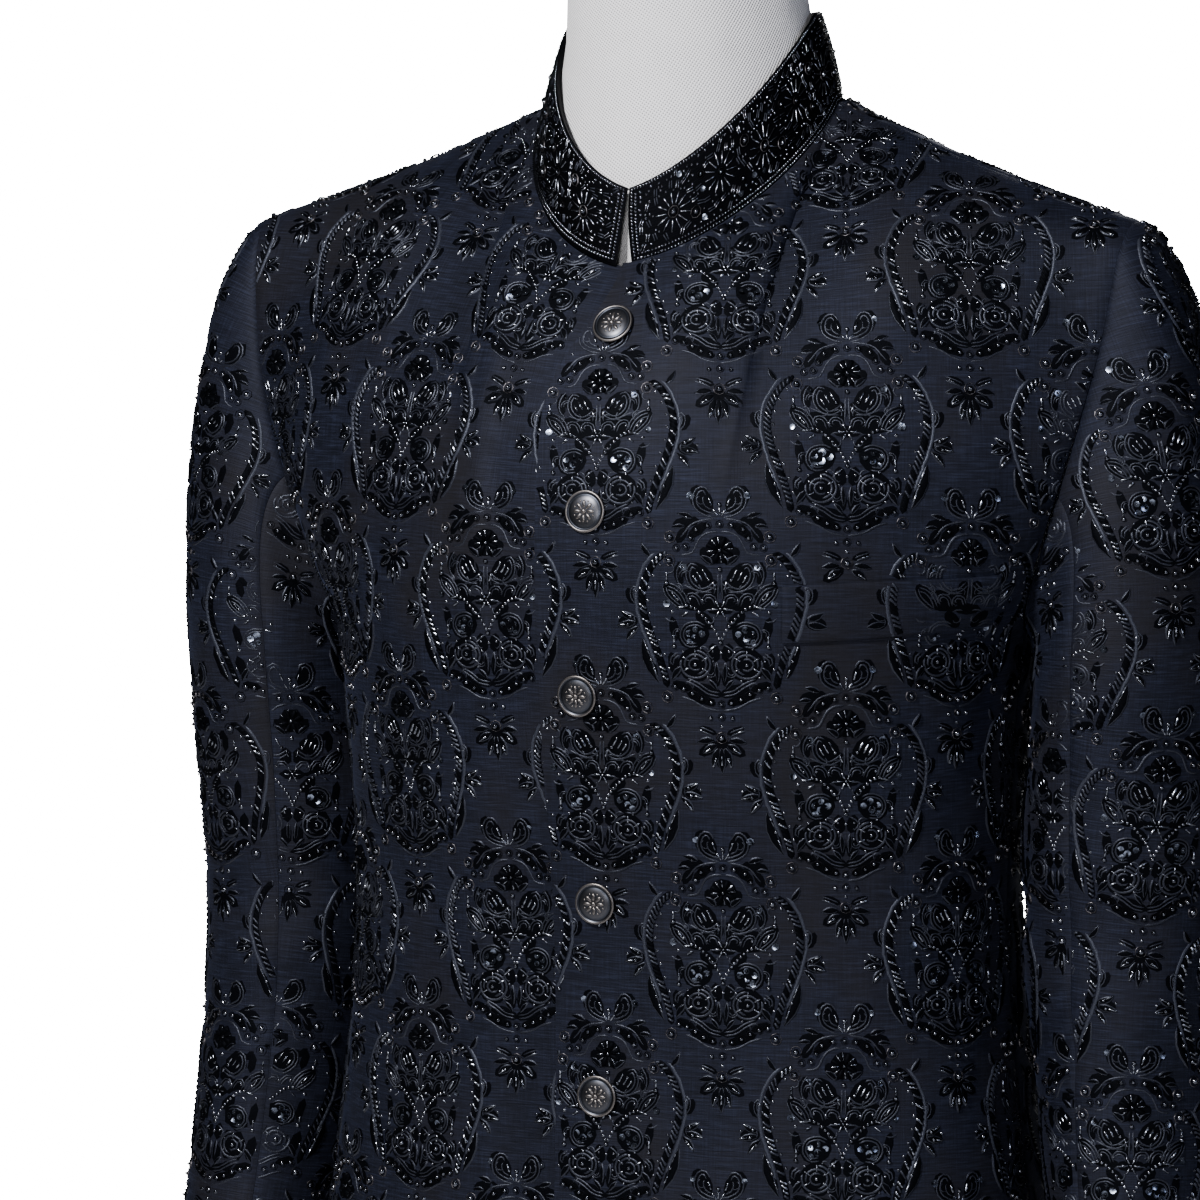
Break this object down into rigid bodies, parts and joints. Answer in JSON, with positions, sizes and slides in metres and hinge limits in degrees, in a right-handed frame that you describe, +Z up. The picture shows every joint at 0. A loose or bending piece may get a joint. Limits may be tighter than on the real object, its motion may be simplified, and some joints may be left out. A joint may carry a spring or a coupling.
{
  "type": "sherwani coat on limbless dress form",
  "caption": "Knee-length closed-front coat with a standing collar, set-in sleeves and a breast welt, worn by a limbless linen dress form on a round-based stand.",
  "frame": {"origin": "on the floor under the middle of the round base", "axes": "+Z up, the wearer faces -Y, the wearer's left is +X"},
  "size_m": [0.59, 0.38, 1.59],
  "materials": {
    "embroidered_silk": "slubby raw silk, navy-charcoal, with beadwork and cord embroidery",
    "beaded_collar": "black cloth covered with beadwork",
    "gunmetal": "satin gunmetal plating",
    "linen": "plain-woven off-white linen",
    "satin_steel": "satin"
  },
  "bodies": {
    "root": {"front_left": "embroidered_silk", "front_right": "embroidered_silk", "back_left": "embroidered_silk", "back_right": "embroidered_silk", "sleeve_left_top": "embroidered_silk", "sleeve_left_under": "embroidered_silk", "sleeve_right_top": "embroidered_silk", "sleeve_right_under": "embroidered_silk", "breast_welt": "embroidered_silk", "collar": "beaded_collar", "button_1": "gunmetal", "button_2": "gunmetal", "button_3": "gunmetal", "button_4": "gunmetal", "button_5": "gunmetal", "button_6": "gunmetal", "button_7": "gunmetal", "form_torso": "linen", "stand_pole": "satin_steel", "stand_base": "satin_steel"}
  },
  "joints": []
}
